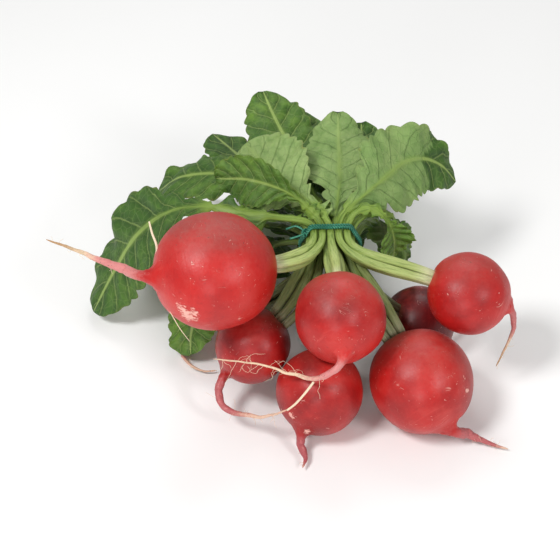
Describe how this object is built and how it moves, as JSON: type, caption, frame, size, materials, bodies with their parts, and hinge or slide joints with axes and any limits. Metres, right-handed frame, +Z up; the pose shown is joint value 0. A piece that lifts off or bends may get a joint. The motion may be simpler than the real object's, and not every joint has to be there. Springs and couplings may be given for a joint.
{
  "type": "bunch of radishes",
  "caption": "Bunch of round red radishes with thin tail roots and leafy tops, held by a tie round the stalks, lying on its side.",
  "frame": {"origin": "middle of the outline's footprint, on the surface it lies on", "axes": "+Z up; +Y from the roots to the leaf tips, along the bunch; +X to the right seen from the root end"},
  "size_m": [0.159, 0.1656, 0.0729],
  "materials": {
    "root_skin": "satin",
    "leaf_upper": "matte",
    "leaf_under": "matte",
    "tie_band": "satin"
  },
  "bodies": {
    "root": {"root_left_big": "root_skin", "root_left_low": "root_skin", "root_middle": "root_skin", "root_right": "root_skin", "root_front": "root_skin", "root_front_right": "root_skin", "root_right_under": "root_skin", "root_left_under": "root_skin", "leaf_1_1": "leaf_upper", "leaf_1_2": "leaf_upper", "leaf_1_3": "leaf_upper", "leaf_1_4": "leaf_upper", "leaf_1_5": "leaf_upper", "leaf_2_1": "leaf_upper", "leaf_2_2": "leaf_upper", "leaf_2_3": "leaf_upper", "leaf_2_4": "leaf_upper", "leaf_2_5": "leaf_upper", "leaf_2_6": "leaf_upper", "leaf_3_1": "leaf_upper", "leaf_3_2": "leaf_upper", "leaf_3_3": "leaf_upper", "leaf_3_4": "leaf_upper", "leaf_3_5": "leaf_upper", "leaf_3_6": "leaf_upper", "leaf_3_7": "leaf_upper", "leaf_4_1": "leaf_upper", "leaf_4_2": "leaf_upper", "leaf_4_3": "leaf_upper", "leaf_4_4": "leaf_under", "leaf_4_5": "leaf_upper", "leaf_4_6": "leaf_upper", "leaf_5_1": "leaf_upper", "leaf_5_2": "leaf_upper", "leaf_5_3": "leaf_under", "leaf_5_4": "leaf_under", "leaf_5_5": "leaf_upper", "tie": "tie_band"}
  },
  "joints": []
}
